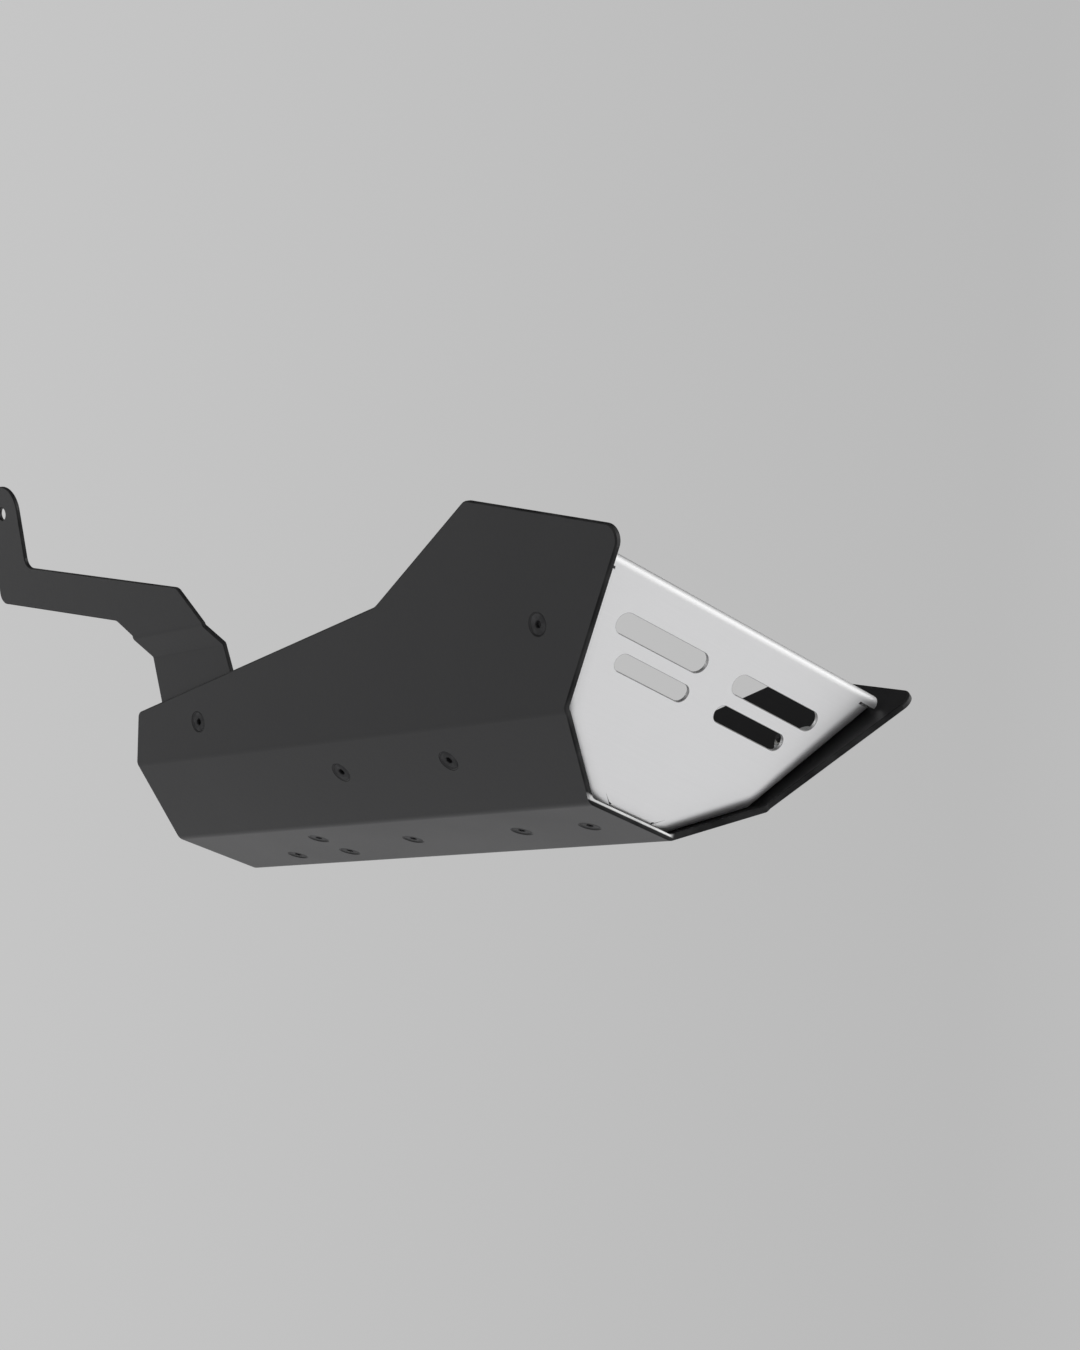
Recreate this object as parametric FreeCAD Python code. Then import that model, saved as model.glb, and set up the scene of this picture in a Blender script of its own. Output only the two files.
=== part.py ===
import FreeCAD, Part
import math
import os
from FreeCAD import Placement, Rotation, Vector

# Motorcycle engine spoiler: a folded sheet pan, a vented front plate, brackets and their fasteners
# Frame: +X to the bike's front, +Y to its left, +Z up, origin in the middle of the pan's underside

# Pan: one folded sheet
pan_sheet = 4.0
pan_fold_radius = 4.0
bottom_length = 400.0
bottom_width = 66.4
lower_width = 62.3
lower_angle = 33.25
upper_angle = 62.0

# Outline of the pan's sides: runs along X, and rises measured up the upper face from its fold
lower_front_rake = 22.0
upper_front_rake = 64.2
tip_rise = 93.2
top_edge_run = 118.0
peak_rise = 124.4
slope_edge_run = 91.4
notch_rise = 74.8
lower_rear_rake = 9.0
upper_rear_rake = 10.9
rear_rise = 34.3
tip_radius = 9.0
peak_radius = 8.0
notch_radius = 12.0
rear_radius = 5.0

# Front plate: one folded sheet with flanges that lie on the pan
plate_sheet = 2.5
plate_fold_radius = 2.5
side_fold_radius = 14.0
plate_setback = 3.5
plate_lean = 58.0
plate_slope = 129.6
top_flange_turn = 110.0
top_flange_length = 20.0
bottom_flange_length = 48.0
bottom_flange_width = 34.0
side_flange_length = 19.0
side_ear_width = 40.0
side_ear_margin = 11.0
fold_relief = 1.2
floor_relief = 14.0
knee_relief = 7.0
knee_clearance = 1.5
plate_shoulder = 1.5
plate_gap = 1.0
plate_corner_radius = 3.0
plate_ear_radius = 10.0

# Vents in the front plate: two rows of long slots, two to a row
upper_vent_rise = 96.5
upper_vent_length = 72.0
upper_vent_width = 13.0
lower_vent_rise = 76.5
lower_vent_length = 58.0
lower_vent_width = 11.0
vent_bridge = 24.0

# Cross brackets: a strap across the pan's floor with an upright ear at each end
bracket_sheet = 3.0
bracket_fold_radius = 3.0
cross_width = 30.0
cross_floor_length = 50.0
ear_hole_height = 40.0
ear_hole_diameter = 8.5

# Sump bracket: a foot on the pan's floor with an upright lug at its rear
sump_foot_width = 50.0
sump_foot_margin = 16.0
sump_lug_width = 34.0
sump_hole_height = 34.0
sump_corner_radius = 8.0

# Rear brackets: a joggled strap on the pan's inner side, with a long arm to the rear
joggle_rise = 68.4
joggle_width = 16.7
joggle_angle = 28.75
tab_width = 78.5
tab_shift = 4.5
tab_front_lean = 0.16
tab_rear_lean = 0.05
joggle_shift = 8.0
foot_width = 50.0
foot_margin = 13.0
arm_angle = 11.6
arm_width = 27.6
arm_front_run = 21.5
arm_front_rise = 26.6
arm_length = 170.5
arm_end_width = 38.0
arm_end_height = 213.5
arm_corner_radius = 8.0

# Screws, washers and lock nuts
thread_diameter = 6.0
screw_length = 16.0
screw_head_diameter = 12.4
screw_tip_chamfer = 0.7
socket_width = 4.0
socket_depth = 2.3
sink_diameter = 13.6
screw_hole_diameter = 6.6
washer_diameter = 12.0
washer_sheet = 1.6
nut_width = 10.0
nut_height = 6.0
nut_collar_height = 1.4
thread_clearance = 0.05
seat_clearance = 0.05

# Places of the screws: setbacks along X from the pan's front edge, rises up the face from its fold
plate_floor_screw_setback = 34.6
plate_side_screw_lead = 11.0
plate_side_screw_rise = 49.4
cross_front_setback = 92.5
cross_pitch = 100.0
cross_side_screw_rise = 39.0
sump_screw_setback = 271.7
sump_screw_pitch = 55.3
sump_screw_spread = 26.6
rear_screw_setback = 315.0
rear_screw_rise = 22.6

overcut = 1.0
block_size = 300.0
strip_overrun = 9.0
smallest_edge = 0.001
hexagon_sides = 6
front_x = bottom_length / 2
rear_x = -bottom_length / 2


# Sheet helpers: a flat lies in its frame's XY plane, its skin at z = 0 and its body on the +z side
def skin_radius(angle, radius, sheet):
    if angle > 0:
        return radius + sheet
    return radius


def setback(angle, radius, sheet):
    return skin_radius(angle, radius, sheet) * math.tan(math.radians(abs(angle)) / 2)


def next_flat(frame, corner, angle):
    return frame * Placement(Vector(0, corner, 0), Rotation(Vector(1, 0, 0), angle))


def moved(frame, x, y, z):
    return frame * Placement(Vector(x, y, z), Rotation())


def placed(shape, frame):
    return shape.transformed(frame.toMatrix())


def mirrored(shape):
    return shape.mirror(Vector(0, 0, 0), Vector(0, 1, 0))


def joined(solids):
    return solids[0].fuse(solids[1:]).removeSplitter()


# Closed outline through corners of (x, y, radius), where no rounding takes more than half of an edge
def outline_wire(corners):
    points = [Vector(x, y, 0) for x, y, radius in corners]
    count = len(points)
    begins = []
    finishes = []
    edges = []
    for index, here in enumerate(points):
        to_last = points[index - 1] - here
        to_following = points[(index + 1) % count] - here
        shorter = min(to_last.Length, to_following.Length)
        to_last.normalize()
        to_following.normalize()
        half = to_last.getAngle(to_following) / 2
        cut = min(corners[index][2] / math.tan(half), shorter / 2)
        radius = cut * math.tan(half)
        begins.append(here + to_last * cut)
        finishes.append(here + to_following * cut)
        if radius > 0:
            middle = here + (to_last + to_following).normalize() * (radius / math.sin(half) - radius)
            edges.append(Part.Arc(begins[index], middle, finishes[index]).toShape())
    for index in range(count):
        begin = begins[(index + 1) % count]
        if finishes[index].distanceToPoint(begin) > smallest_edge:
            edges.append(Part.LineSegment(finishes[index], begin).toShape())
    return Part.Wire(Part.sortEdges(edges)[0])


def flat(frame, corners, sheet):
    face = Part.Face(outline_wire(corners))
    return placed(face.extrude(Vector(0, 0, sheet)), frame)


def fold(frame, corner, start, end, angle, radius, sheet):
    y = corner - setback(angle, radius, sheet)
    centre = radius + sheet if angle > 0 else -radius
    corners = [Vector(start, y, 0), Vector(end, y, 0), Vector(end, y, sheet), Vector(start, y, sheet)]
    face = Part.Face(Part.makePolygon(corners + corners[:1]))
    return placed(face.revolve(Vector(0, y, centre), Vector(1, 0, 0), angle), frame)


def cylinder(frame, diameter, low, high):
    return placed(Part.makeCylinder(diameter / 2, high - low, Vector(0, 0, low)), frame)


def slot_cut(frame, x, y, length, width, sheet):
    left = x - length / 2
    right = x + length / 2
    low = y - width / 2
    high = y + width / 2
    end_radius = width / 2
    corners = [
        (left, low, end_radius),
        (right, low, end_radius),
        (right, high, end_radius),
        (left, high, end_radius),
    ]
    face = Part.Face(outline_wire(corners))
    return placed(face.extrude(Vector(0, 0, sheet + 2 * overcut)), moved(frame, 0, 0, -overcut))


# Frames of the pan's faces on the left side, each with its y = 0 on the fold below it
upper_turn = upper_angle - lower_angle
bottom_frame = Placement()
lower_frame = next_flat(bottom_frame, bottom_width / 2, lower_angle)
upper_frame = next_flat(lower_frame, lower_width, upper_turn)

# Where the screws sit on the pan's skin, with +z going in
plate_floor_seat = moved(bottom_frame, front_x - plate_floor_screw_setback, 0, 0)
plate_side_seat = moved(upper_frame, front_x + plate_side_screw_lead, plate_side_screw_rise, 0)
cross_front_x = front_x - cross_front_setback
cross_rear_x = cross_front_x - cross_pitch
sump_front_x = front_x - sump_screw_setback
sump_rear_x = sump_front_x - sump_screw_pitch
rear_screw_x = front_x - rear_screw_setback
rear_seat = moved(upper_frame, rear_screw_x, rear_screw_rise, 0)
sump_seats = [
    moved(bottom_frame, sump_front_x, -sump_screw_spread / 2, 0),
    moved(bottom_frame, sump_front_x, sump_screw_spread / 2, 0),
    moved(bottom_frame, sump_rear_x, sump_screw_spread / 2, 0),
]


def cross_floor_seat(x):
    return moved(bottom_frame, x, 0, 0)


def cross_side_seat(x):
    return moved(lower_frame, x, cross_side_screw_rise, 0)


# Countersunk hole in the pan, drawn around the seat's axis
def sink_cut(seat):
    sink_radius = sink_diameter / 2
    hole_radius = screw_hole_diameter / 2
    profile = [
        Vector(0, 0, -overcut),
        Vector(sink_radius + overcut, 0, -overcut),
        Vector(hole_radius, 0, sink_radius - hole_radius),
        Vector(hole_radius, 0, pan_sheet + overcut),
        Vector(0, 0, pan_sheet + overcut),
    ]
    face = Part.Face(Part.makePolygon(profile + profile[:1]))
    return placed(face.revolve(Vector(0, 0, 0), Vector(0, 0, 1), 360), seat)


def carrier_hole(seat, sheet):
    return cylinder(seat, screw_hole_diameter, pan_sheet - overcut, pan_sheet + sheet + overcut)


def make_pan():
    low_setback = setback(lower_angle, pan_fold_radius, pan_sheet)
    up_setback = setback(upper_turn, pan_fold_radius, pan_sheet)
    half = bottom_width / 2
    knee_front = front_x + lower_front_rake
    knee_rear = rear_x + lower_rear_rake
    tip = knee_front + upper_front_rake
    peak = tip - top_edge_run
    notch = peak - slope_edge_run
    floor_edge = half - low_setback
    floor = [
        (rear_x, -floor_edge, 0),
        (front_x, -floor_edge, 0),
        (front_x, floor_edge, 0),
        (rear_x, floor_edge, 0),
    ]
    lower = [
        (rear_x, low_setback, 0),
        (front_x, low_setback, 0),
        (knee_front, lower_width - up_setback, 0),
        (knee_rear, lower_width - up_setback, 0),
    ]
    upper = [
        (knee_rear, up_setback, 0),
        (knee_front, up_setback, 0),
        (tip, tip_rise, tip_radius),
        (peak, peak_rise, peak_radius),
        (notch, notch_rise, notch_radius),
        (knee_rear + upper_rear_rake, rear_rise, rear_radius),
    ]
    side = [
        fold(bottom_frame, half, rear_x, front_x, lower_angle, pan_fold_radius, pan_sheet),
        flat(lower_frame, lower, pan_sheet),
        fold(lower_frame, lower_width, knee_rear, knee_front, upper_turn, pan_fold_radius, pan_sheet),
        flat(upper_frame, upper, pan_sheet),
    ]
    sheet = joined([flat(bottom_frame, floor, pan_sheet)] + side + [mirrored(piece) for piece in side])
    side_seats = [plate_side_seat, cross_side_seat(cross_front_x), cross_side_seat(cross_rear_x), rear_seat]
    floor_seats = [plate_floor_seat, cross_floor_seat(cross_front_x), cross_floor_seat(cross_rear_x)]
    floor_seats += sump_seats
    cuts = [sink_cut(seat) for seat in floor_seats]
    for seat in side_seats:
        cuts.append(sink_cut(seat))
        cuts.append(mirrored(sink_cut(seat)))
    return sheet.cut(cuts)


# Front plate: frames of its floor flange and its face, whose local x runs to the bike's right
plate_corner = Vector(front_x - plate_setback, 0, pan_sheet)
floor_flange_frame = Placement(plate_corner, Rotation(Vector(0, 0, 1), -90))
plate_frame = next_flat(floor_flange_frame, 0, plate_lean)


def plate_line(face_frame):
    # The line, nx * x + ny * y = c in the plate's own plane, where it meets the pan's inner skin
    to_local = plate_frame.inverse()
    normal = to_local.Rotation.multVec(outward(face_frame))
    point = to_local.multVec(face_frame.multVec(Vector(0, 0, pan_sheet)))
    return normal.x, normal.y, normal.dot(point)


def shifted_line(line, distance):
    return line[0], line[1], line[2] - distance * math.hypot(line[0], line[1])


def crossing(first, second):
    scale = first[0] * second[1] - second[0] * first[1]
    x = (first[2] * second[1] - second[2] * first[1]) / scale
    y = (first[0] * second[2] - second[0] * first[2]) / scale
    return Vector(x, y, 0)


def outward(frame):
    return frame.Rotation.multVec(Vector(0, 0, -1))


def flange_turn(face_frame):
    return math.degrees(outward(plate_frame).getAngle(outward(face_frame)))


def flange_setback(face_frame):
    return setback(flange_turn(face_frame), side_fold_radius, plate_sheet)


def side_flange(face_frame, line, low_corner, high_corner, low_relief, high_relief, ear_seat):
    # Frame on the plate at the fold line: x along the fold, y to the pan, z into the plate
    front_normal = outward(plate_frame)
    along = front_normal.cross(outward(face_frame)).normalize()
    across = (front_normal * -1).cross(along)
    angle = flange_turn(face_frame)
    origin = plate_frame.multVec(crossing(line, (0, 1, low_corner.y)))
    if ear_seat is not None:
        seat = ear_seat.multVec(Vector(0, 0, pan_sheet))
        origin = origin + along * (seat - origin).dot(along)
    base = Placement(origin, Rotation(along, across, front_normal * -1))
    flange_frame = next_flat(base, 0, angle)
    low = (plate_frame.multVec(low_corner) - origin).dot(along)
    high = (plate_frame.multVec(high_corner) - origin).dot(along)
    start = low + low_relief
    end = high - high_relief
    bend = flange_setback(face_frame)
    near = [(start, bend, 0), (end, bend, 0), (end, side_flange_length, plate_corner_radius)]
    far = [(start, side_flange_length, plate_corner_radius)]
    ear = []
    if ear_seat is not None:
        reach = flange_frame.inverse().multVec(seat).y + side_ear_margin
        half = side_ear_width / 2
        ear = [
            (half, side_flange_length, plate_corner_radius),
            (half, reach, plate_ear_radius),
            (-half, reach, plate_ear_radius),
            (-half, side_flange_length, plate_corner_radius),
        ]
    # The fold runs on past both corners, and is trimmed there to meet its neighbours
    strip = fold(base, 0, low - strip_overrun, high + strip_overrun, angle, side_fold_radius, plate_sheet)
    return strip, flat(flange_frame, near + ear + far, plate_sheet)


def plate_block(point, direction):
    # Fills the far side of a plane that stands across the plate
    frame = plate_frame * Placement(point, Rotation(Vector(0, 0, 1), direction))
    corner = Vector(-block_size / 2, -block_size / 2, 0)
    return placed(Part.makeBox(block_size, block_size, block_size, corner), frame)


def vent_cuts(rise, length, width):
    middle = (vent_bridge + length) / 2
    return [slot_cut(plate_frame, side * middle, rise, length, width, plate_sheet) for side in (-1, 1)]


def make_front_plate():
    floor_setback = setback(plate_lean, plate_fold_radius, plate_sheet)
    top_setback = setback(top_flange_turn, plate_fold_radius, plate_sheet)
    top = plate_slope - top_setback
    lower_line = plate_line(lower_frame)
    upper_line = plate_line(upper_frame)
    lower_edge = shifted_line(lower_line, flange_setback(lower_frame))
    upper_edge = shifted_line(upper_line, flange_setback(upper_frame))
    low = crossing(lower_edge, (0, 1, floor_setback))
    knee = crossing(lower_edge, upper_edge)
    high = crossing(upper_edge, (0, 1, top - plate_shoulder))
    shoulder = crossing(shifted_line(upper_line, plate_gap), (0, 1, top - plate_shoulder))
    face = [
        (low.x, low.y, plate_corner_radius),
        (-low.x, low.y, plate_corner_radius),
        (-knee.x, knee.y, 0),
        (-high.x, high.y, 0),
        (-shoulder.x, high.y, plate_corner_radius),
        (-shoulder.x, top, 0),
        (shoulder.x, top, 0),
        (shoulder.x, high.y, plate_corner_radius),
        (high.x, high.y, 0),
        (knee.x, knee.y, 0),
    ]
    half_floor = bottom_flange_width / 2
    floor = [
        (-half_floor, -bottom_flange_length, plate_ear_radius),
        (half_floor, -bottom_flange_length, plate_ear_radius),
        (half_floor, -floor_setback, 0),
        (-half_floor, -floor_setback, 0),
    ]
    half_top = abs(shoulder.x)
    top_frame = next_flat(plate_frame, plate_slope, top_flange_turn)
    top_flange = [
        (-half_top, top_setback, 0),
        (half_top, top_setback, 0),
        (half_top, top_flange_length, plate_corner_radius),
        (-half_top, top_flange_length, plate_corner_radius),
    ]
    lower_strip, lower_flat = side_flange(lower_frame, lower_line, low, knee, floor_relief, knee_relief, None)
    upper_strip, upper_flat = side_flange(
        upper_frame, upper_line, knee, high, fold_relief, fold_relief, plate_side_seat
    )
    lower_side = Vector(lower_line[0], lower_line[1], 0).normalize()
    upper_side = Vector(upper_line[0], upper_line[1], 0).normalize()
    up_side = (lower_side + upper_side).cross(Vector(0, 0, 1))
    floor_corner = Vector(front_x - block_size / 2, -block_size / 2, pan_sheet + plate_gap - block_size)
    floor_block = Part.makeBox(block_size, block_size, block_size, floor_corner)
    top_block = plate_block(Vector(high.x, high.y - fold_relief, 0), Vector(0, 1, 0))
    # The pan's fold at the knee is round inside, so the strips keep clear of it
    inner_knee = pan_sheet * math.tan(math.radians(upper_turn) / 2)
    knee_start = Vector(front_x - block_size / 2, inner_knee, pan_sheet)
    knee_rod = placed(Part.makeCylinder(knee_clearance, block_size, knee_start, Vector(1, 0, 0)), upper_frame)
    lower_strip = lower_strip.cut([floor_block, plate_block(knee, up_side), knee_rod])
    upper_strip = upper_strip.cut([top_block, plate_block(knee, up_side * -1), knee_rod])
    sides = [lower_strip, lower_flat, upper_strip, upper_flat]
    radius = plate_fold_radius
    solids = [
        flat(plate_frame, face, plate_sheet),
        fold(floor_flange_frame, 0, -half_floor, half_floor, plate_lean, radius, plate_sheet),
        flat(floor_flange_frame, floor, plate_sheet),
        fold(plate_frame, plate_slope, -half_top, half_top, top_flange_turn, radius, plate_sheet),
        flat(top_frame, top_flange, plate_sheet),
    ]
    plate = joined(solids + sides + [mirrored(piece) for piece in sides])
    cuts = [carrier_hole(plate_floor_seat, plate_sheet)]
    side_hole = carrier_hole(plate_side_seat, plate_sheet)
    cuts += [side_hole, mirrored(side_hole)]
    cuts += vent_cuts(upper_vent_rise, upper_vent_length, upper_vent_width)
    cuts += vent_cuts(lower_vent_rise, lower_vent_length, lower_vent_width)
    return plate.cut(cuts)


# Cross bracket: lies on the pan's floor and lower faces, then turns up to vertical ears
def make_cross_bracket(x):
    floor_frame = moved(bottom_frame, x, 0, pan_sheet)
    corner = bottom_width / 2 - pan_sheet * math.tan(math.radians(lower_angle) / 2)
    ear_turn = 90 - lower_angle
    low_setback = setback(lower_angle, bracket_fold_radius, bracket_sheet)
    ear_setback = setback(ear_turn, bracket_fold_radius, bracket_sheet)
    slope_frame = next_flat(floor_frame, corner, lower_angle)
    ear_frame = next_flat(slope_frame, cross_floor_length, ear_turn)
    half = cross_width / 2
    edge = corner - low_setback
    ear_top = ear_hole_height + half
    floor = [(-half, -edge, 0), (half, -edge, 0), (half, edge, 0), (-half, edge, 0)]
    slope = [
        (-half, low_setback, 0),
        (half, low_setback, 0),
        (half, cross_floor_length - ear_setback, 0),
        (-half, cross_floor_length - ear_setback, 0),
    ]
    ear = [(-half, ear_setback, 0), (half, ear_setback, 0), (half, ear_top, half), (-half, ear_top, half)]
    side = [
        fold(floor_frame, corner, -half, half, lower_angle, bracket_fold_radius, bracket_sheet),
        flat(slope_frame, slope, bracket_sheet),
        fold(slope_frame, cross_floor_length, -half, half, ear_turn, bracket_fold_radius, bracket_sheet),
        flat(ear_frame, ear, bracket_sheet),
    ]
    strap = joined([flat(floor_frame, floor, bracket_sheet)] + side + [mirrored(piece) for piece in side])
    ear_seat = moved(ear_frame, 0, ear_hole_height, 0)
    ear_hole = cylinder(ear_seat, ear_hole_diameter, -overcut, bracket_sheet + overcut)
    side_hole = carrier_hole(cross_side_seat(x), bracket_sheet)
    cuts = [ear_hole, mirrored(ear_hole), side_hole, mirrored(side_hole)]
    cuts.append(carrier_hole(cross_floor_seat(x), bracket_sheet))
    return strap.cut(cuts)


# Sump bracket: its foot's local y runs to the rear of the bike
def make_sump_bracket():
    foot_start = sump_front_x + sump_foot_margin
    foot_frame = Placement(Vector(foot_start, 0, pan_sheet), Rotation(Vector(0, 0, 1), 90))
    foot_length = 2 * sump_foot_margin + sump_screw_pitch
    lug_setback = setback(90, bracket_fold_radius, bracket_sheet)
    lug_frame = next_flat(foot_frame, foot_length, 90)
    half_foot = sump_foot_width / 2
    half_lug = sump_lug_width / 2
    lug_top = sump_hole_height + half_lug
    foot = [
        (-half_foot, 0, sump_corner_radius),
        (half_foot, 0, sump_corner_radius),
        (half_foot, foot_length - lug_setback - fold_relief, sump_corner_radius),
        (half_lug, foot_length - lug_setback - fold_relief, 0),
        (half_lug, foot_length - lug_setback, 0),
        (-half_lug, foot_length - lug_setback, 0),
        (-half_lug, foot_length - lug_setback - fold_relief, 0),
        (-half_foot, foot_length - lug_setback - fold_relief, sump_corner_radius),
    ]
    lug = [
        (-half_lug, lug_setback, 0),
        (half_lug, lug_setback, 0),
        (half_lug, lug_top, half_lug),
        (-half_lug, lug_top, half_lug),
    ]
    bracket = joined([
        flat(foot_frame, foot, bracket_sheet),
        fold(foot_frame, foot_length, -half_lug, half_lug, 90, bracket_fold_radius, bracket_sheet),
        flat(lug_frame, lug, bracket_sheet),
    ])
    lug_seat = moved(lug_frame, 0, sump_hole_height, 0)
    cuts = [carrier_hole(seat, bracket_sheet) for seat in sump_seats]
    cuts.append(cylinder(lug_seat, ear_hole_diameter, -overcut, bracket_sheet + overcut))
    return bracket.cut(cuts)


# Rear bracket on the left side: a tab on the pan's inner skin, a joggle outwards and the arm
tab_frame = moved(upper_frame, rear_screw_x, 0, pan_sheet)
joggle_frame = next_flat(tab_frame, joggle_rise, -joggle_angle)
arm_frame = next_flat(joggle_frame, joggle_width, joggle_angle)


def make_rear_bracket():
    out_setback = setback(-joggle_angle, bracket_fold_radius, bracket_sheet)
    back_setback = setback(joggle_angle, bracket_fold_radius, bracket_sheet)
    half_tab = tab_width / 2
    half_foot = foot_width / 2
    tab_front = half_tab - tab_shift
    tab_rear = -half_tab - tab_shift
    arm_front = tab_front - joggle_shift
    arm_rear = tab_rear - joggle_shift
    foot_low = rear_screw_rise - foot_margin
    foot_high = rear_screw_rise + foot_margin
    tab = [
        (-half_foot, foot_low, arm_corner_radius),
        (half_foot, foot_low, arm_corner_radius),
        (tab_front + tab_front_lean * (joggle_rise - foot_high), foot_high, arm_corner_radius),
        (tab_front, joggle_rise - out_setback, 0),
        (tab_rear, joggle_rise - out_setback, 0),
        (tab_rear + tab_rear_lean * (joggle_rise - foot_high), foot_high, arm_corner_radius),
    ]
    joggle = [
        (tab_rear, out_setback, 0),
        (tab_front, out_setback, 0),
        (arm_front, joggle_width - back_setback, 0),
        (arm_rear, joggle_width - back_setback, 0),
    ]
    slope = math.tan(math.radians(arm_angle))
    upright_width = arm_width / math.cos(math.radians(arm_angle))
    shoulder = arm_front - arm_front_run
    inner_end = shoulder - arm_length
    outer_end = inner_end - arm_end_width
    end_centre = inner_end - arm_end_width / 2
    top_at_end = arm_front_rise + arm_length * slope
    # The arm's end is as high above the pan's underside as its named height
    sheet_lift = bracket_sheet * math.cos(math.radians(upper_angle))
    end_top = (arm_end_height - arm_frame.Base.z - sheet_lift) / math.sin(math.radians(upper_angle))
    hole_rise = end_top - arm_end_width / 2
    low_at_outer = arm_front_rise + (shoulder - outer_end) * slope - upright_width
    # The arm's lower edge turns down into the tab at half of its front corner's rise
    throat_rise = arm_front_rise / 2
    throat = shoulder - (throat_rise + upright_width - arm_front_rise) / slope
    arm = [
        (arm_rear, back_setback, 0),
        (arm_front, back_setback, 0),
        (shoulder, arm_front_rise, arm_corner_radius),
        (inner_end, top_at_end, arm_corner_radius),
        (inner_end, end_top, arm_end_width / 2),
        (outer_end, end_top, arm_end_width / 2),
        (outer_end, low_at_outer, arm_corner_radius),
        (throat, throat_rise, arm_corner_radius),
    ]
    radius = bracket_fold_radius
    strap = joined([
        flat(tab_frame, tab, bracket_sheet),
        fold(tab_frame, joggle_rise, tab_rear, tab_front, -joggle_angle, radius, bracket_sheet),
        flat(joggle_frame, joggle, bracket_sheet),
        fold(joggle_frame, joggle_width, arm_rear, arm_front, joggle_angle, radius, bracket_sheet),
        flat(arm_frame, arm, bracket_sheet),
    ])
    end_seat = moved(arm_frame, end_centre, hole_rise, 0)
    end_hole = cylinder(end_seat, ear_hole_diameter, -overcut, bracket_sheet + overcut)
    return strap.cut([carrier_hole(rear_seat, bracket_sheet), end_hole])


# Fasteners, each drawn on the z axis with the pan's skin at z = 0 and +z going in
def hexagon_radius(width):
    return width / 2 / math.cos(math.pi / hexagon_sides)


def hexagon(width, low, high):
    radius = hexagon_radius(width)
    turns = [2 * math.pi * index / hexagon_sides for index in range(hexagon_sides)]
    points = [Vector(radius * math.cos(turn), radius * math.sin(turn), low) for turn in turns]
    return Part.Face(Part.makePolygon(points + points[:1])).extrude(Vector(0, 0, high - low))


def turned(profile):
    points = [Vector(radius, 0, z) for radius, z in profile]
    return Part.Face(Part.makePolygon(points + points[:1])).revolve(Vector(0, 0, 0), Vector(0, 0, 1), 360)


def make_screw():
    cone = sink_diameter / 2 - seat_clearance * math.sqrt(2)
    head_radius = screw_head_diameter / 2
    head_top = cone - head_radius
    thread_radius = thread_diameter / 2
    tip = head_top + screw_length
    body = turned([
        (0, head_top),
        (head_radius, head_top),
        (thread_radius, cone - thread_radius),
        (thread_radius, tip - screw_tip_chamfer),
        (thread_radius - screw_tip_chamfer, tip),
        (0, tip),
    ])
    return body.cut(hexagon(socket_width, head_top - overcut, head_top + socket_depth))


def make_washer(carrier_sheet):
    low = pan_sheet + carrier_sheet
    high = low + washer_sheet
    ring = cylinder(Placement(), washer_diameter, low, high)
    return ring.cut(cylinder(Placement(), screw_hole_diameter, low - overcut, high + overcut))


def make_nut(carrier_sheet):
    low = pan_sheet + carrier_sheet + washer_sheet
    flat_radius = nut_width / 2
    corner_radius = hexagon_radius(nut_width)
    bevel = (corner_radius - flat_radius) / 2
    hex_top = low + nut_height - nut_collar_height
    envelope = turned([
        (0, low),
        (flat_radius, low),
        (corner_radius, low + bevel),
        (corner_radius, hex_top - bevel),
        (flat_radius, hex_top),
        (0, hex_top),
    ])
    collar = Part.makeCylinder(flat_radius - bevel, low + nut_height - hex_top, Vector(0, 0, hex_top))
    body = hexagon(nut_width, low, hex_top).common(envelope).fuse(collar).removeSplitter()
    bore = thread_diameter + 2 * thread_clearance
    return body.cut(cylinder(Placement(), bore, low - overcut, low + nut_height + overcut))


def fastener_groups(name, floor_seats, side_seats, carrier_sheet):
    groups = {}
    pieces = {
        "screws": make_screw(),
        "washers": make_washer(carrier_sheet),
        "nuts": make_nut(carrier_sheet),
    }
    for kind, piece in pieces.items():
        solids = [placed(piece, seat) for seat in floor_seats]
        for seat in side_seats:
            solids.append(placed(piece, seat))
            solids.append(mirrored(placed(piece, seat)))
        groups[name + "_" + kind] = Part.makeCompound(solids)
    return groups


parts = {
    "belly_pan": make_pan(),
    "front_plate": make_front_plate(),
    "front_cross_bracket": make_cross_bracket(cross_front_x),
    "rear_cross_bracket": make_cross_bracket(cross_rear_x),
    "sump_bracket": make_sump_bracket(),
    "rear_bracket_left": make_rear_bracket(),
    "rear_bracket_right": mirrored(make_rear_bracket()),
}
parts.update(fastener_groups("plate_floor", [plate_floor_seat], [], plate_sheet))
parts.update(fastener_groups("plate_side", [], [plate_side_seat], plate_sheet))
for end, place in (("front_cross", cross_front_x), ("rear_cross", cross_rear_x)):
    parts.update(fastener_groups(end, [cross_floor_seat(place)], [cross_side_seat(place)], bracket_sheet))
parts.update(fastener_groups("sump", sump_seats, [], bracket_sheet))
parts.update(fastener_groups("rear_bracket", [], [rear_seat], bracket_sheet))

os.makedirs("parts", exist_ok=True)
for node, shape in parts.items():
    shape.exportStep("parts/" + node + ".step")
    print(node, len(shape.Solids), round(shape.Volume, 1), shape.isValid())
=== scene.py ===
import bpy
import bmesh
import math
import numpy
from mathutils import Matrix, Vector


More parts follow.
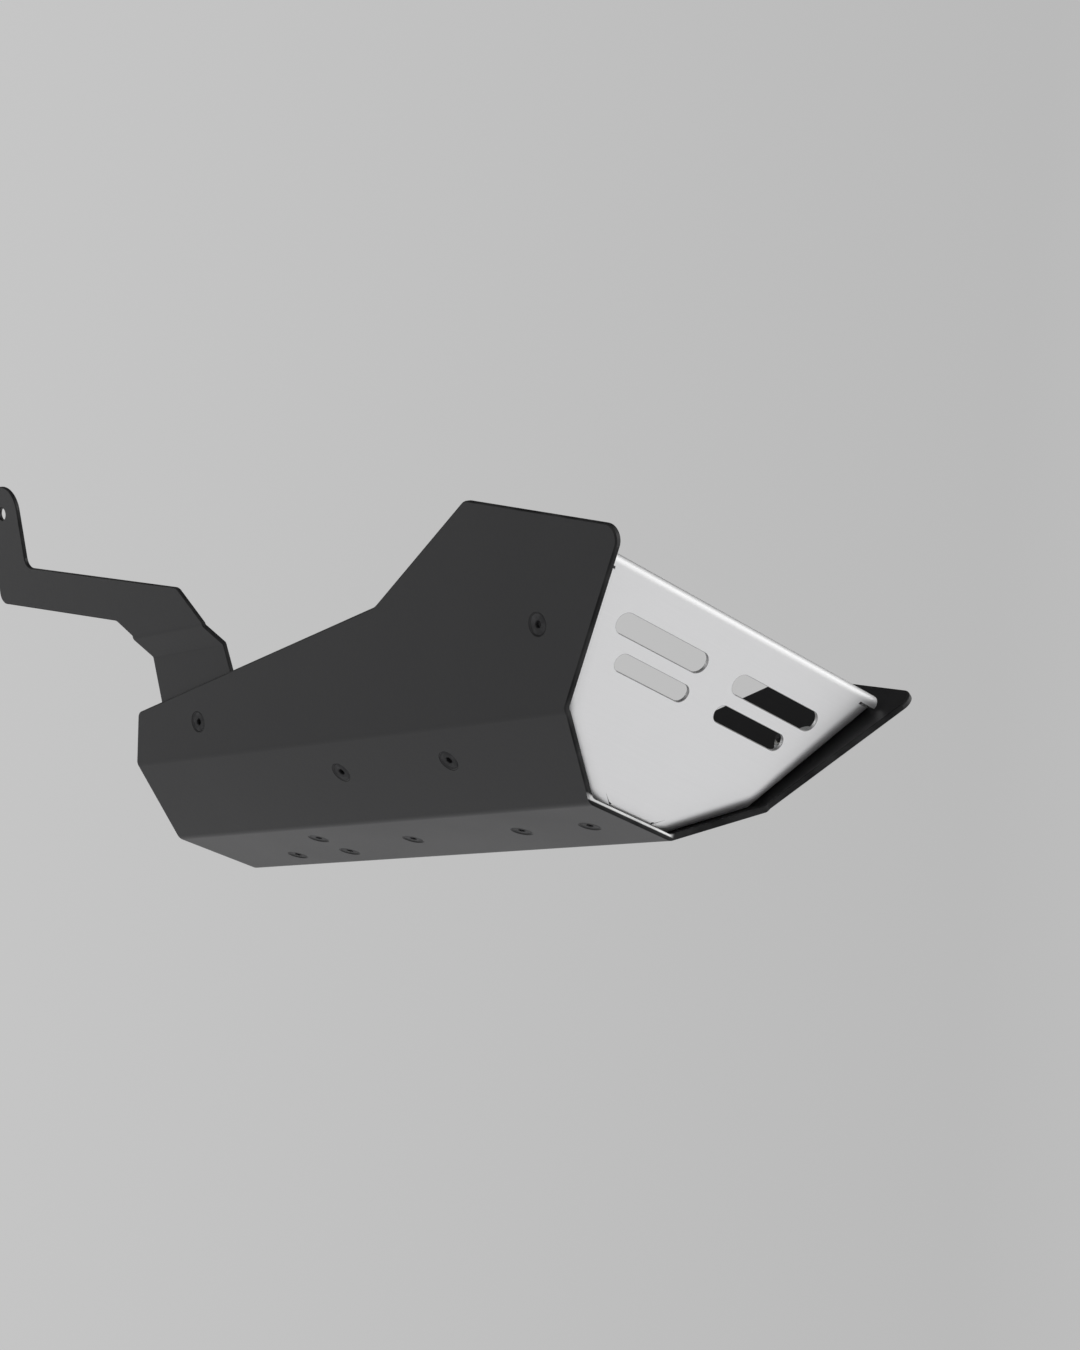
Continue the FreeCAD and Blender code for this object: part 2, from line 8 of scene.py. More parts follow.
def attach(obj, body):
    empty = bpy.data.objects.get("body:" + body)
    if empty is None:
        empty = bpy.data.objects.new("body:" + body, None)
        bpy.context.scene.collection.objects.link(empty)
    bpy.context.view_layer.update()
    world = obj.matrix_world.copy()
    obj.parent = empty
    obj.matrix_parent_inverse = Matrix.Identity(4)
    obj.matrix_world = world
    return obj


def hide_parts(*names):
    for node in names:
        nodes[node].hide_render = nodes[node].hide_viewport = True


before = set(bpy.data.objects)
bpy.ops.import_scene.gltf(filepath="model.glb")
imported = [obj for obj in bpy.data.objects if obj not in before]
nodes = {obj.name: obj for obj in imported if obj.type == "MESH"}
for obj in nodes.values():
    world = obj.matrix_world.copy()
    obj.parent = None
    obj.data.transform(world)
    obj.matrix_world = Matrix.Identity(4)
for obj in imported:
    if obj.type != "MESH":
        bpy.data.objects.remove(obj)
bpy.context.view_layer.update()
scene = bpy.context.scene
scene.view_settings.view_transform = "Standard"
mm = 0.001
weldReach = 0.002 * mm   # corners nearer than this are one corner
noiseMiddle = 0.5        # a noise swings about this value
print("frame loaded with", len(nodes), "nodes")


class Value:  # a node's output that takes part in Python arithmetic
    def __init__(self, finish, socket):
        self.finish = finish
        self.socket = socket

    def maths(self, operation, first, second):
        return self.finish.add("ShaderNodeMath", {"operation": operation}, {0: first, 1: second})

    def __add__(self, other):
        return self.maths("ADD", self, other)

    def __radd__(self, other):
        return self.maths("ADD", other, self)

    def __sub__(self, other):
        return self.maths("SUBTRACT", self, other)

    def __rsub__(self, other):
        return self.maths("SUBTRACT", other, self)

    def __mul__(self, other):
        return self.maths("MULTIPLY", self, other)

    def __rmul__(self, other):
        return self.maths("MULTIPLY", other, self)


class Finish:  # one material, or the world, and the nodes in it
    def __init__(self, owner):
        self.owner = owner
        owner.use_nodes = True
        self.tree = owner.node_tree
        self.tree.nodes.clear()

    def add(self, kind, settings, sockets, output=0):
        node = self.tree.nodes.new(kind)
        for key, value in settings.items():
            if key == "stops":
                self.setStops(node.color_ramp, value)
            else:
                setattr(node, key, value)
        for key, value in sockets.items():
            if isinstance(value, Value):
                self.tree.links.new(value.socket, node.inputs[key])
            else:
                node.inputs[key].default_value = value
        if node.outputs:
            return Value(self, node.outputs[output])

    def setStops(self, ramp, stops):
        while len(ramp.elements) < len(stops):
            ramp.elements.new(1.0)
        for element, (place, level) in zip(ramp.elements, stops):
            element.position = place
            element.color = (level, level, level, 1.0)

    def place(self, stretch=(1, 1, 1)):  # object coordinates in metres
        coords = self.add("ShaderNodeTexCoord", {}, {}, "Object")
        return self.add("ShaderNodeMapping", {}, {"Vector": coords, "Scale": stretch})

    def part(self, vector, letter):
        return self.add("ShaderNodeSeparateXYZ", {}, {"Vector": vector}, letter)

    def noise(self, scale, detail, stretch=(1, 1, 1)):
        sockets = {"Vector": self.place(stretch), "Scale": scale, "Detail": detail}
        return self.add("ShaderNodeTexNoise", {}, sockets, "Fac")

    def ramp(self, value, stops):
        return self.add("ShaderNodeValToRGB", {"stops": stops}, {"Fac": value}, "Color")

    def mix(self, factor, first, second):
        return self.add("ShaderNodeMix", {"data_type": "RGBA"}, {0: factor, 6: first, 7: second}, 2)

    def bump(self, height, depth, strength, normal=None):
        sockets = {"Height": height, "Distance": depth, "Strength": strength}
        if normal is not None:
            sockets["Normal"] = normal
        return self.add("ShaderNodeBump", {}, sockets, "Normal")

    def surface(self, sockets):
        shader = self.add("ShaderNodeBsdfPrincipled", {}, sockets, "BSDF")
        self.add("ShaderNodeOutputMaterial", {}, {"Surface": shader})
        return self.owner


def colour(red, green, blue):
    return (red, green, blue, 1.0)


coatLook = {
    "black": colour(0.0060, 0.0060, 0.0068),
    "dusty": colour(0.0130, 0.0130, 0.0138),
    "dustStops": [(0.42, 0.0), (0.78, 1.0)],
    "dustShare": 0.35,
    "grainShare": 0.35,
    "gloss": 0.5,
    "roughness": 0.40,
    "patchRoughness": 0.10,
    "grainRoughness": 0.10,
    "grainScale": 1700.0,     # cured powder grains, about half a millimetre
    "peelScale": 330.0,       # soft waves of the melted coat
    "patchScale": 11.0,       # handling and dust over the whole sheet
    "grainDepth": 0.05 * mm,
    "grainStrength": 0.55,
    "peelDepth": 0.10 * mm,
    "peelStrength": 0.35,
}


def powderCoat(name, look):
    coat = Finish(bpy.data.materials.new(name))
    grain = coat.noise(look["grainScale"], detail=1.0)
    peel = coat.noise(look["peelScale"], detail=2.0)
    patch = coat.noise(look["patchScale"], detail=5.0)
    dust = coat.ramp(patch, look["dustStops"])
    dustiness = look["dustShare"] * dust + look["grainShare"] * grain
    roughness = look["roughness"] + look["patchRoughness"] * (patch - noiseMiddle)
    roughness = roughness + look["grainRoughness"] * (grain - noiseMiddle)
    waves = coat.bump(peel, look["peelDepth"], look["peelStrength"])
    return coat.surface({
        "Base Color": coat.mix(dustiness, look["black"], look["dusty"]),
        "Roughness": roughness,
        "Specular IOR Level": look["gloss"],
        "Normal": coat.bump(grain, look["grainDepth"], look["grainStrength"], waves),
    })


edgeLook = {
    "coat": colour(0.006, 0.006, 0.0065),
    "bare": colour(0.80, 0.80, 0.80),
    "gloss": 0.14,
    "coatRoughness": 0.48,
    "bareRoughness": 0.30,
    "rubScale": 55.0,
    "rubStops": [(0.40, 0.0), (0.75, 1.0)],
    "rubDepth": 0.03 * mm,
    "rubStrength": 0.4,
    "rubbed": 0.03,           # most wear along the other cut edges
    # The upper half of the floor's front edge is painted bright bare metal: partly wear, partly a painted
    # highlight
    "highlightStripLeast": 0.75,
    "highlightStripRub": 0.25,
    "frontStops": [(0.190, 0.0), (0.198, 1.0)],                               # forward, in metres
    "floorScale": 100.0,
    "floorStops": [(0.20, 0.0), (0.25, 1.0), (0.42, 1.0), (0.52, 0.0)],       # up, in centimetres
    "acrossScale": 5.0,
    "acrossStops": [(0.29, 0.0), (0.325, 1.0), (0.655, 1.0), (0.67, 0.0)],    # over 20 cm, 0.5 in the middle
}


def coatEdge(name, look):
    coat = Finish(bpy.data.materials.new(name))
    rub = coat.ramp(coat.noise(look["rubScale"], detail=4.0), look["rubStops"])
    along = coat.part(coat.place(), "X")
    across = 0.5 + look["acrossScale"] * coat.part(coat.place(), "Y")
    height = look["floorScale"] * coat.part(coat.place(), "Z")
    # painted highlight, partly wear: a bright bare strip on the upper half of the floor's front edge, placed
    # by position
    wearAndHighlightStrip = coat.ramp(along, look["frontStops"]) * coat.ramp(height, look["floorStops"])
    wearAndHighlightStrip = wearAndHighlightStrip * coat.ramp(across, look["acrossStops"])
    wearAndHighlight = look["rubbed"] * rub + wearAndHighlightStrip * (look["highlightStripLeast"] + look["highlightStripRub"] * rub)
    return coat.surface({
        "Base Color": coat.mix(wearAndHighlight, look["coat"], look["bare"]),
        "Metallic": wearAndHighlight,
        "Specular IOR Level": look["gloss"],
        "Roughness": look["coatRoughness"] + (look["bareRoughness"] - look["coatRoughness"]) * wearAndHighlight,
        "Normal": coat.bump(rub, look["rubDepth"], look["rubStrength"]),
    })


plateLook = {
    "silver": colour(0.95, 0.95, 0.95),
    "shade": colour(0.89, 0.89, 0.895),
    "streakShare": 0.45,
    "cloudShare": 0.35,
    "roughness": 0.48,
    "streakRoughness": 0.12,
    "cloudRoughness": 0.08,
    "streakScale": 1.0,
    "streakStretch": (1500.0, 26.0, 1500.0),   # brushed from side to side
    "streakDepth": 0.012 * mm,
    "streakStrength": 0.25,
    "cloudScale": 14.0,
}
# painted shade: the front plate's cut edges and vent edges get a darker silver than the plate
plateEdgeShadeLook = {
    **plateLook,
    "silver": colour(0.52, 0.52, 0.52),        # the cut edges are painted darker: duller metal and painted shade
    "shade": colour(0.40, 0.40, 0.405),
    "roughness": 0.50,
}


def brushedPlate(name, look):
    metal = Finish(bpy.data.materials.new(name))
    streak = metal.noise(look["streakScale"], 3.0, look["streakStretch"])
    cloud = metal.noise(look["cloudScale"], detail=4.0)
    shading = look["streakShare"] * streak + look["cloudShare"] * cloud
    roughness = look["roughness"] + look["streakRoughness"] * (streak - noiseMiddle)
    roughness = roughness + look["cloudRoughness"] * (cloud - noiseMiddle)
    return metal.surface({
        "Base Color": metal.mix(shading, look["silver"], look["shade"]),
        "Metallic": 1.0,
        "Roughness": roughness,
        "Normal": metal.bump(streak, look["streakDepth"], look["streakStrength"]),
    })


oxideLook = {
    "black": colour(0.013, 0.013, 0.014),
    "rubbed": colour(0.040, 0.040, 0.042),
    "rubScale": 160.0,
    "rubStops": [(0.46, 0.0), (0.70, 1.0)],
    "gloss": 0.30,
    "roughness": 0.50,
    "grainRoughness": 0.16,
    "grainScale": 900.0,
    "grainDepth": 0.02 * mm,
    "grainStrength": 0.3,
}


def blackOxide(name, look):
    steel = Finish(bpy.data.materials.new(name))
    grain = steel.noise(look["grainScale"], detail=3.0)
    rubbed = steel.ramp(steel.noise(look["rubScale"], detail=3.0), look["rubStops"])
    return steel.surface({
        "Base Color": steel.mix(rubbed, look["black"], look["rubbed"]),
        "Specular IOR Level": look["gloss"],
        "Roughness": look["roughness"] + look["grainRoughness"] * (grain - noiseMiddle),
        "Normal": steel.bump(grain, look["grainDepth"], look["grainStrength"]),
    })


zincLook = {
    "bright": colour(0.70, 0.71, 0.72),
    "dull": colour(0.50, 0.51, 0.52),
    "roughness": 0.30,
    "bloomRoughness": 0.25,
    "bloomScale": 420.0,
    "bloomDepth": 0.02 * mm,
    "bloomStrength": 0.25,
}


def zincPlate(name, look):
    steel = Finish(bpy.data.materials.new(name))
    bloom = steel.noise(look["bloomScale"], detail=4.0)
    return steel.surface({
        "Base Color": steel.mix(bloom, look["bright"], look["dull"]),
        "Metallic": 1.0,
        "Roughness": look["roughness"] + look["bloomRoughness"] * (bloom - noiseMiddle),
        "Normal": steel.bump(bloom, look["bloomDepth"], look["bloomStrength"]),
    })


nylonLook = {
    "pale": colour(0.66, 0.65, 0.60),
    "stain": colour(0.50, 0.48, 0.43),
    "roughness": 0.48,
    "flowRoughness": 0.12,
    "flowScale": 380.0,
    "flowDepth": 0.02 * mm,
    "flowStrength": 0.2,
}


def nylon(name, look):
    plastic = Finish(bpy.data.materials.new(name))
    flow = plastic.noise(look["flowScale"], detail=3.0)
    return plastic.surface({
        "Base Color": plastic.mix(flow, look["pale"], look["stain"]),
        "Roughness": look["roughness"] + look["flowRoughness"] * (flow - noiseMiddle),
        "Normal": plastic.bump(flow, look["flowDepth"], look["flowStrength"]),
    })


panCoat = powderCoat("panCoat", coatLook)
panEdge = coatEdge("panEdge", edgeLook)
plateSilver = brushedPlate("plateSilver", plateLook)
shadedPlateEdge = brushedPlate("shadedPlateEdge", plateEdgeShadeLook)
screwBlack = blackOxide("screwBlack", oxideLook)
nutZinc = zincPlate("nutZinc", zincLook)
nutNylon = nylon("nutNylon", nylonLook)
print("finishes made")


# Where the screws sit, read from the frame: each washer gives an axis, and the screw on it its head
def solidsOf(node):
    work = bmesh.new()
    work.from_mesh(nodes[node].data)
    bmesh.ops.remove_doubles(work, verts=work.verts, dist=weldReach)
    solids = []
    found = set()
    for first in work.verts:
        if first in found:
            continue
        found.add(first)
        reached = [first]
        for vert in reached:
            for line in vert.link_edges:
                other = line.other_vert(vert)
                if other not in found:
                    found.add(other)
                    reached.append(other)
        solids.append(numpy.array([vert.co for vert in reached]))
    work.free()
    return solids


def screwSeats():
    found = []
    for node in sorted(nodes):
        if not node.endswith("_washers"):
            continue
        screws = solidsOf(node.replace("_washers", "_screws"))
        for washer in solidsOf(node):
            centre = washer.mean(axis=0)
            axis = numpy.linalg.svd(washer - centre)[2][2]   # a flat ring varies least along its axis
            axis = axis * numpy.sign(axis[2])                # every screw goes in upwards
            screw = min(screws, key=lambda solid: numpy.linalg.norm(solid.mean(axis=0) - centre))
            headTop = ((screw - centre) @ axis).min()
            stack = ((washer - centre) @ axis).min() - headTop
            found.append((Vector(centre + axis * headTop), Vector(axis), stack))
    return found


seats = screwSeats()
print("screw seats:", len(seats))


# Folded sheets: the solids' own shape, with the cut edges rounded
def plainMesh(piece, name):  # the piece with its modifiers in its mesh
    layer = bpy.context.evaluated_depsgraph_get()
    made = bpy.data.meshes.new_from_object(piece.evaluated_get(layer), depsgraph=layer)
    made.name = name
    piece.modifiers.clear()
    piece.data = made


def besideScrew(point, reach):
    for place, axis, stack in seats:
        away = point - place
        if (away - axis * away.dot(axis)).length < reach and away.length < 2 * reach:
            return True
    return False


def isSharp(line, look):
    return line.calc_face_angle(0.0) > look["sharpAngle"]


def isCut(face, look):  # a strip as narrow as the sheet between two sharp edges
    around = face.calc_perimeter()
    sharp = sum(line.calc_length() for line in face.edges if isSharp(line, look))
    return 2 * face.calc_area() < look["widestCut"] * around and sharp > look["sharpShare"] * around


def dressSheet(name, node, look, skin, edge):
    mesh = nodes[node].data.copy()
    mesh.materials.clear()
    mesh.materials.append(skin)
    mesh.materials.append(edge)
    work = bmesh.new()
    work.from_mesh(mesh)
    bmesh.ops.remove_doubles(work, verts=work.verts, dist=weldReach)
    bmesh.ops.dissolve_limit(work, angle_limit=look["flatAngle"], verts=work.verts, edges=work.edges)
    for face in work.faces:
        face.material_index = 1 if isCut(face, look) else 0
    for holes, size in ((True, look["holeBreak"]), (False, look["edgeBreak"])):
        sharp = []
        for line in work.edges:
            middle = (line.verts[0].co + line.verts[1].co) / 2
            if isSharp(line, look) and besideScrew(middle, look["holeReach"]) == holes:
                sharp.append(line)
        bmesh.ops.bevel(
            work, geom=sharp, offset=size, segments=look["edgeSteps"], profile=0.5,
            affect="EDGES", clamp_overlap=False, material=1,
        )
    for face in work.faces:
        face.smooth = True
    work.to_mesh(mesh)
    work.free()
    piece = bpy.data.objects.new(name, mesh)
    scene.collection.objects.link(piece)
    weighted = piece.modifiers.new("flatFaces", "WEIGHTED_NORMAL")
    weighted.weight = 100   # the large faces stay flat
    weighted.keep_sharp = False
    plainMesh(piece, name)
    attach(piece, "root")
    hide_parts(node)
    print("sheet", name, len(piece.data.polygons), "faces")


bellyPan = {
    "flatAngle": math.radians(0.4),
    "sharpAngle": math.radians(28.0),
    "edgeBreak": 0.9 * mm,      # deburred, and rounded again by the coat
    "edgeSteps": 3,
    "holeBreak": 0.2 * mm,
    "holeReach": 9.0 * mm,
    "widestCut": 4.5 * mm,
    "sharpShare": 0.6,
}
dressSheet("bellyPan", "belly_pan", bellyPan, panCoat, panEdge)

frontPlate = {**bellyPan, "edgeBreak": 0.30 * mm}
dressSheet("frontPlate", "front_plate", frontPlate, plateSilver, shadedPlateEdge)

bracketStrap = {**bellyPan, "edgeBreak": 0.6 * mm}
for name, node in (
    ("frontCrossBracket", "front_cross_bracket"),
    ("rearCrossBracket", "rear_cross_bracket"),
    ("sumpBracket", "sump_bracket"),
    ("rearBracketLeft", "rear_bracket_left"),
    ("rearBracketRight", "rear_bracket_right"),
):
    dressSheet(name, node, bracketStrap, panCoat, panEdge)


# Turned shapes: rings of (radius, height), each a number or a function of the turn
creaseAngle = math.radians(32.0)


def hexRadius(halfWidth):
    third = math.pi / 3
    return lambda turn: halfWidth / math.cos(turn % third - third / 2)


def turnedShape(name, rings, steps, closed):
    work = bmesh.new()
    loops = []
    for radius, height in rings:
        loop = []
        for step in range(1 if radius == 0 else steps):
            turn = 2 * math.pi * step / steps
            far = radius(turn) if callable(radius) else radius
            high = height(turn) if callable(height) else height
            loop.append(work.verts.new((far * math.cos(turn), far * math.sin(turn), high)))
        loops.append(loop)
    pairs = list(zip(loops, loops[1:]))
    if closed:
        pairs.append((loops[-1], loops[0]))
    for near, far in pairs:
        for step in range(steps):
            after = step + 1
            corners = [near[step % len(near)], near[after % len(near)]]
            corners += [far[after % len(far)], far[step % len(far)]]
            work.faces.new(list(dict.fromkeys(corners)))
    bmesh.ops.recalc_face_normals(work, faces=work.faces)
    for face in work.faces:
        face.smooth = True
    mesh = bpy.data.meshes.new(name)
    work.to_mesh(mesh)
    work.free()
    mesh.set_sharp_from_angle(angle=creaseAngle)
    shape = bpy.data.objects.new(name, mesh)
    scene.collection.objects.link(shape)
    return shape


# One tree stands a turned shape on every seat, with its own spin
def seatTree():
    tree = bpy.data.node_groups.new("standOnSeats", "GeometryNodeTree")
    ports = {}
    for label, kind in (
        ("Seats", "NodeSocketGeometry"),
        ("Shape", "NodeSocketObject"),
        ("Rise", "NodeSocketFloat"),
        ("Spin", "NodeSocketFloat"),
        ("Seed", "NodeSocketInt"),
        ("Finish", "NodeSocketMaterial"),
    ):
        ports[label] = tree.interface.new_socket(name=label, in_out="INPUT", socket_type=kind).identifier
    tree.interface.new_socket(name="Pieces", in_out="OUTPUT", socket_type="NodeSocketGeometry")

    def add(kind, settings, links):
        node = tree.nodes.new(kind)
        for key, value in settings.items():
            setattr(node, key, value)
        for key, value in links.items():
            if isinstance(value, bpy.types.NodeSocket):
                tree.links.new(value, node.inputs[key])
            else:
                node.inputs[key].default_value = value
        return node.outputs

    def kept(label, kind):  # a value that each seat carries
        return add("GeometryNodeInputNamedAttribute", {"data_type": kind}, {"Name": label})["Attribute"]

    given = add("NodeGroupInput", {}, {})
    axis = kept("wayIn", "FLOAT_VECTOR")
    stack = kept("stack", "FLOAT")
    rise = add("ShaderNodeMath", {"operation": "ADD"}, {0: stack, 1: given["Rise"]})[0]
    lift = add("ShaderNodeVectorMath", {"operation": "SCALE"}, {0: axis, "Scale": rise})[0]
    raised = add("GeometryNodeSetPosition", {}, {"Geometry": given["Seats"], "Offset": lift})["Geometry"]
    upright = add("FunctionNodeAlignRotationToVector", {"axis": "Z"}, {"Vector": axis})["Rotation"]
    drawn = {2: 0.0, 3: given["Spin"], "Seed": given["Seed"]}
    spin = add("FunctionNodeRandomValue", {"data_type": "FLOAT"}, drawn)[1]
    turn = add("FunctionNodeAxisAngleToRotation", {}, {"Axis": (0, 0, 1), "Angle": spin})["Rotation"]
    both = {"Rotation": upright, "Rotate By": turn}
    turned = add("FunctionNodeRotateRotation", {"rotation_space": "LOCAL"}, both)["Rotation"]
    shape = add("GeometryNodeObjectInfo", {}, {"Object": given["Shape"]})["Geometry"]
    standing = {"Points": raised, "Instance": shape, "Rotation": turned}
    stood = add("GeometryNodeInstanceOnPoints", {}, standing)["Instances"]
    real = add("GeometryNodeRealizeInstances", {}, {"Geometry": stood})["Geometry"]
    dressed = add("GeometryNodeSetMaterial", {}, {"Geometry": real, "Material": given["Finish"]})["Geometry"]
    add("NodeGroupOutput", {}, {"Pieces": dressed})
    return tree, ports


standOnSeats, seatPorts = seatTree()


def standShapes(name, shape, look, stands, finish, replaced):
    points = bpy.data.meshes.new(name)
    points.from_pydata([place for place, axis, stack in seats], [], [])
    points.attributes.new("wayIn", "FLOAT_VECTOR", "POINT")
    points.attributes.new("stack", "FLOAT", "POINT")
    for index, (place, axis, stack) in enumerate(seats):
        points.attributes["wayIn"].data[index].vector = axis
        points.attributes["stack"].data[index].value = stack if stands else 0.0
    piece = bpy.data.objects.new(name, points)
    scene.collection.objects.link(piece)
    stand = piece.modifiers.new("stand", "NODES")
    stand.node_group = standOnSeats
    stand[seatPorts["Shape"]] = shape
    stand[seatPorts["Rise"]] = look["rise"]
    stand[seatPorts["Spin"]] = look["spin"]
    stand[seatPorts["Seed"]] = look["seed"]
    stand[seatPorts["Finish"]] = finish
    plainMesh(piece, name)
    bpy.data.objects.remove(shape)
    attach(piece, "root")
    if replaced:
        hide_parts(*[node for node in sorted(nodes) if node.endswith(replaced)])
    print("fasteners", name, len(piece.data.polygons), "faces")


socketScrew = {
    "rise": 0.0,
    "spin": math.pi / 3,
    "seed": 4,
    "steps": 36,
    "headRadius": 6.2 * mm,
    "threadRadius": 3.0 * mm,
    "threadDepth": 0.5 * mm,
    "pitch": 1.0 * mm,
    "length": 16.0 * mm,
    "socketHalf": 2.0 * mm,
    "socketDepth": 2.3 * mm,
    "socketMouth": 1.22,        # of the socket's half width
    "rim": 0.15 * mm,
}


def screwShape(look):
    rim = look["rim"]
    head = look["headRadius"]
    shank = look["threadRadius"]
    root = shank - look["threadDepth"]
    tip = look["length"]
    half = look["pitch"] / 2
    socket = hexRadius(look["socketHalf"])
    rings = [
        (0, look["socketDepth"] + 2 * rim),
        (socket, look["socketDepth"]),
        (socket, 2 * rim),
        (look["socketHalf"] * look["socketMouth"], 0),
        (head - 2 * rim, 0),
        (head - rim, 0.4 * rim),
        (head - rim, rim),
        (shank, head - shank),
    ]
    height = head - shank + half
    while height < tip - look["pitch"]:
        rings += [(shank, height), (root, height + half)]
        height += look["pitch"]
    rings += [(root, tip - rim), (root - look["threadDepth"], tip), (0, tip)]
    return turnedShape("screwShape", rings, look["steps"], False)


standShapes("socketScrews", screwShape(socketScrew), socketScrew, False, screwBlack, "_screws")

flatWasher = {
    "rise": 0.0,
    "spin": math.pi,
    "seed": 7,
    "steps": 48,
    "outer": 6.0 * mm,
    "inner": 3.3 * mm,
    "sheet": 1.6 * mm,
    "rim": 0.2 * mm,
}


def washerShape(look):
    rim = look["rim"]
    outer = look["outer"]
    inner = look["inner"]
    sheet = look["sheet"]
    rings = [
        (inner + rim, 0), (outer - rim, 0), (outer, rim), (outer, sheet - rim),
        (outer - rim, sheet), (inner + rim, sheet), (inner, sheet - rim), (inner, rim),
    ]
    return turnedShape("washerShape", rings, look["steps"], True)


standShapes("flatWashers", washerShape(flatWasher), flatWasher, True, nutZinc, "_washers")

lockNut = {
    "rise": flatWasher["sheet"],
    "spin": math.pi / 3,
    "seed": 11,
    "steps": 48,
    "halfWidth": 5.0 * mm,
    "bore": 3.05 * mm,
    "hexHeight": 4.6 * mm,
    "height": 6.0 * mm,
    "collar": 4.6 * mm,
    "ringOuter": 3.75 * mm,
    "rim": 0.25 * mm,
    "ringSink": 0.30 * mm,      # the nylon ring lies this far inside its groove
    "ringPlay": 0.025 * mm,
    "ringSoft": 0.125 * mm,
    "chamfer": math.tan(math.radians(30.0)),
}


def nutShape(look):
    side = hexRadius(look["halfWidth"])
    rim = look["rim"]
    bore = look["bore"]
    collar = look["collar"]
    groove = look["ringOuter"]
    top = look["height"]
    hexTop = look["hexHeight"]
    circle = look["halfWidth"] - 0.2 * rim

    def drop(turn):  # the chamfer's cone meets each flat in an arc
        return (side(turn) - circle) * look["chamfer"]

    rings = [
        (bore + rim, 0),
        (circle, 0),
        (side, drop),
        (side, lambda turn: hexTop - drop(turn)),
        (circle, hexTop),
        (collar, hexTop),
        (collar, top - 2 * rim),
        (collar - rim, top - 0.5 * rim),
        (groove + rim, top),
        (groove, top - rim),
        (groove, hexTop + rim),
        (bore, hexTop + rim),
        (bore, rim),
    ]
    return turnedShape("nutShape", rings, look["steps"], True)


standShapes("lockNuts", nutShape(lockNut), lockNut, True, nutZinc, "_nuts")


def ringShape(look):
    low = look["hexHeight"] + look["ringSink"]
    high = look["height"] - look["ringSink"]
    inner = look["bore"] + look["ringPlay"]
    outer = look["ringOuter"] - look["ringPlay"]
    soft = look["ringSoft"]
    rings = [
        (inner, low), (outer, low), (outer, high - soft),
        (outer - soft, high), (inner + soft, high), (inner, high - soft),
    ]
    return turnedShape("ringShape", rings, look["steps"], True)


standShapes("nylonRings", ringShape(lockNut), lockNut, True, nutNylon, None)


# Studio: a pale floor far below, a pale background, one soft box
studio = {
    "floorLevel": -1.8,
    "floorSize": 80.0,
    "floorPale": colour(0.76, 0.76, 0.765),
    "floorSoiled": colour(0.72, 0.72, 0.72),
    "floorRoughness": 0.75,
    "soilRoughness": 0.1,
    "soilScale": 1.3,
    "skyLight": colour(0.84, 0.84, 0.845),
    "brightSide": (0.66, 0.74, 0.14),       # the wall's tone changes along this way, over its stops
    "wallStops": [(0.02, 1.20), (0.18, 0.70), (0.35, 0.580), (0.60, 0.490), (0.78, 0.62), (0.94, 1.00)],
    "ceiling": colour(0.035, 0.035, 0.035),
    "ceilingStops": [(0.42, 0.0), (0.60, 0.98)],       # dark overhead, as the coat mirrors it
    "ceilingTilt": 0.15,
}


def makeFloor(look):
    half = look["floorSize"] / 2
    corners = [(-half, -half), (half, -half), (half, half), (-half, half)]
    mesh = bpy.data.meshes.new("studioFloor")
    mesh.from_pydata([(x, y, look["floorLevel"]) for x, y in corners], [], [(0, 1, 2, 3)])
    floor = bpy.data.objects.new("studioFloor", mesh)
    scene.collection.objects.link(floor)
    paint = Finish(bpy.data.materials.new("floorPaint"))
    soil = paint.noise(look["soilScale"], detail=4.0)
    mesh.materials.append(paint.surface({
        "Base Color": paint.mix(soil, look["floorPale"], look["floorSoiled"]),
        "Roughness": look["floorRoughness"] + look["soilRoughness"] * (soil - noiseMiddle),
    }))


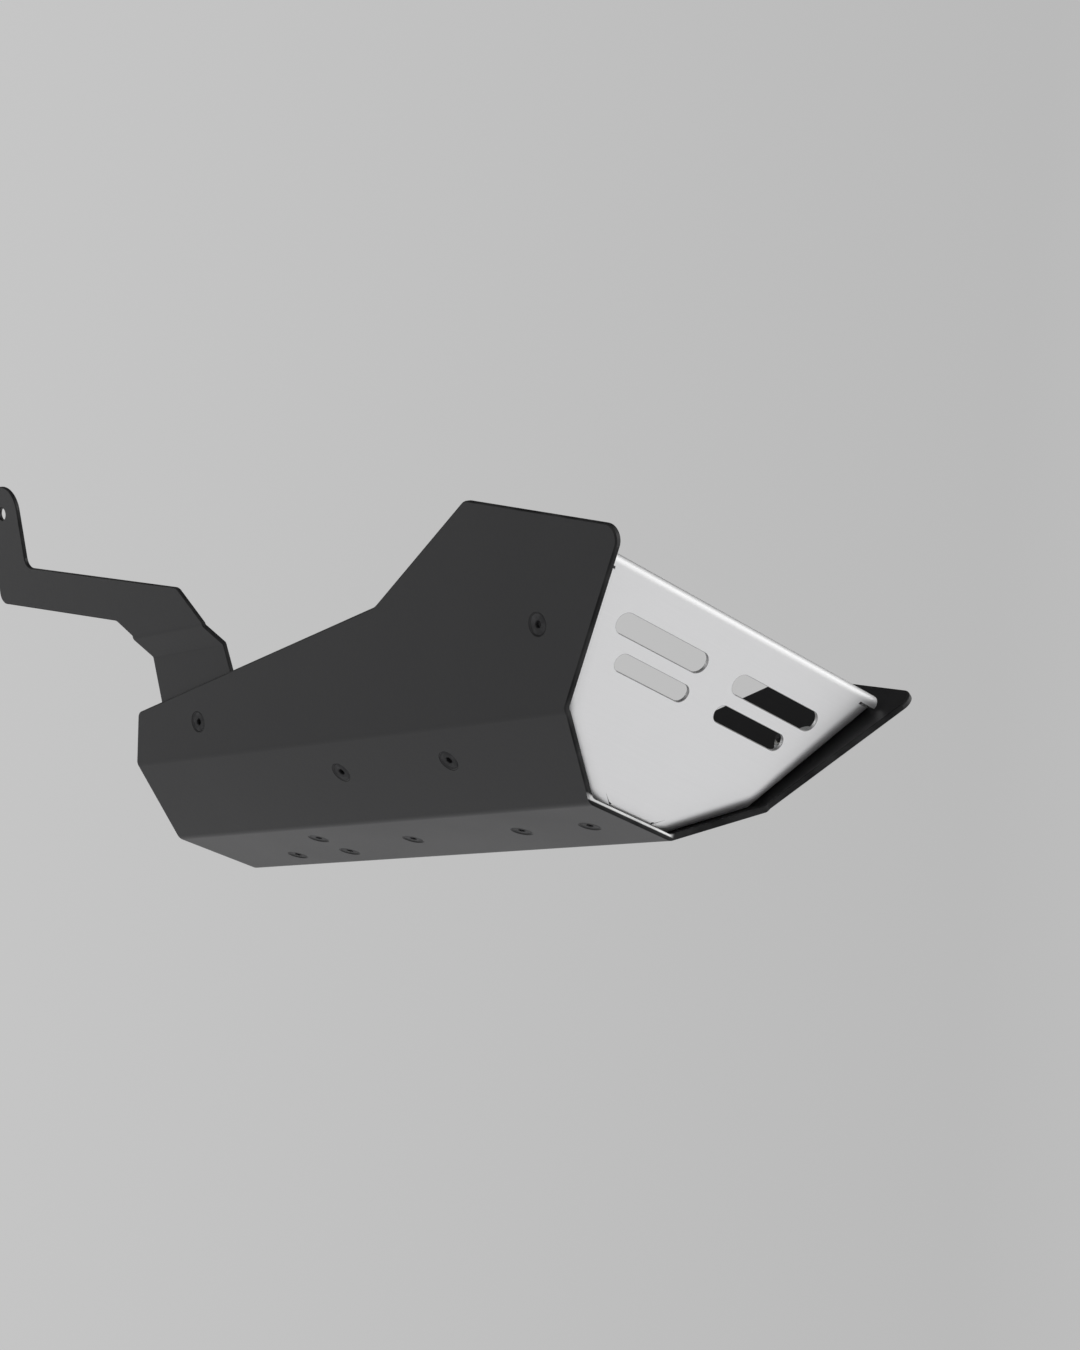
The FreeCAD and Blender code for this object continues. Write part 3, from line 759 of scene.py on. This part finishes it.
def makeWorld(look):
    world = bpy.data.worlds.new("studioWorld")
    scene.world = world
    sky = Finish(world)
    way = sky.add("ShaderNodeTexCoord", {}, {}, "Generated")
    ends = {0: way, 1: look["brightSide"]}
    across = sky.add("ShaderNodeVectorMath", {"operation": "DOT_PRODUCT"}, ends, "Value")
    height = sky.part(way, "Z") - look["ceilingTilt"] * across
    wall = sky.ramp(0.5 * across + 0.5, look["wallStops"])
    mirrored = sky.mix(sky.ramp(height, look["ceilingStops"]), wall, look["ceiling"])
    camera = sky.add("ShaderNodeLightPath", {}, {}, "Is Camera Ray")
    glossy = sky.add("ShaderNodeLightPath", {}, {}, "Is Glossy Ray")
    clear = sky.add("ShaderNodeLightPath", {}, {}, "Is Transmission Ray")
    seen = sky.add("ShaderNodeMath", {"operation": "ADD", "use_clamp": True}, {0: camera, 1: clear})
    light = sky.mix(seen, sky.mix(glossy, look["skyLight"], mirrored), wall)
    shade = sky.add("ShaderNodeBackground", {}, {"Color": light}, "Background")
    sky.add("ShaderNodeOutputWorld", {}, {"Surface": shade})


keyBox = {
    "place": (1.7, 1.5, 1.7),
    "aim": (1.2, 1.1, -1.8),
    "width": 3.0,
    "height": 3.0,
    "power": 12.0,
}


def softBox(name, look):
    lamp = bpy.data.lights.new(name, "AREA")
    lamp.shape = "RECTANGLE"
    lamp.size = look["width"]
    lamp.size_y = look["height"]
    lamp.energy = look["power"]
    box = bpy.data.objects.new(name, lamp)
    box.location = look["place"]
    box.rotation_euler = (Vector(look["aim"]) - Vector(look["place"])).to_track_quat("-Z", "Y").to_euler()
    scene.collection.objects.link(box)


makeFloor(studio)
makeWorld(studio)
softBox("keyBox", keyBox)
print("studio set")


# Camera at the photo's viewpoint: low, in front, on the right side
cameraLook = {
    "place": (1.1760, -0.9196, -0.3570),
    "right": Vector((0.6820, 0.70472, 0.19556)),
    "up": Vector((0.09585, -0.35122, 0.93137)),
    "back": Vector((0.72504, -0.61645, -0.30708)),
    "lens": 65.19,
    "sensor": 36.0,
}


def makeCamera(look):
    data = bpy.data.cameras.new("photoCamera")
    data.lens = look["lens"]
    data.sensor_width = look["sensor"]
    camera = bpy.data.objects.new("photoCamera", data)
    turn = Matrix((look["right"], look["up"], look["back"])).transposed()
    camera.matrix_world = Matrix.Translation(look["place"]) @ turn.to_4x4()
    scene.collection.objects.link(camera)
    scene.camera = camera


makeCamera(cameraLook)
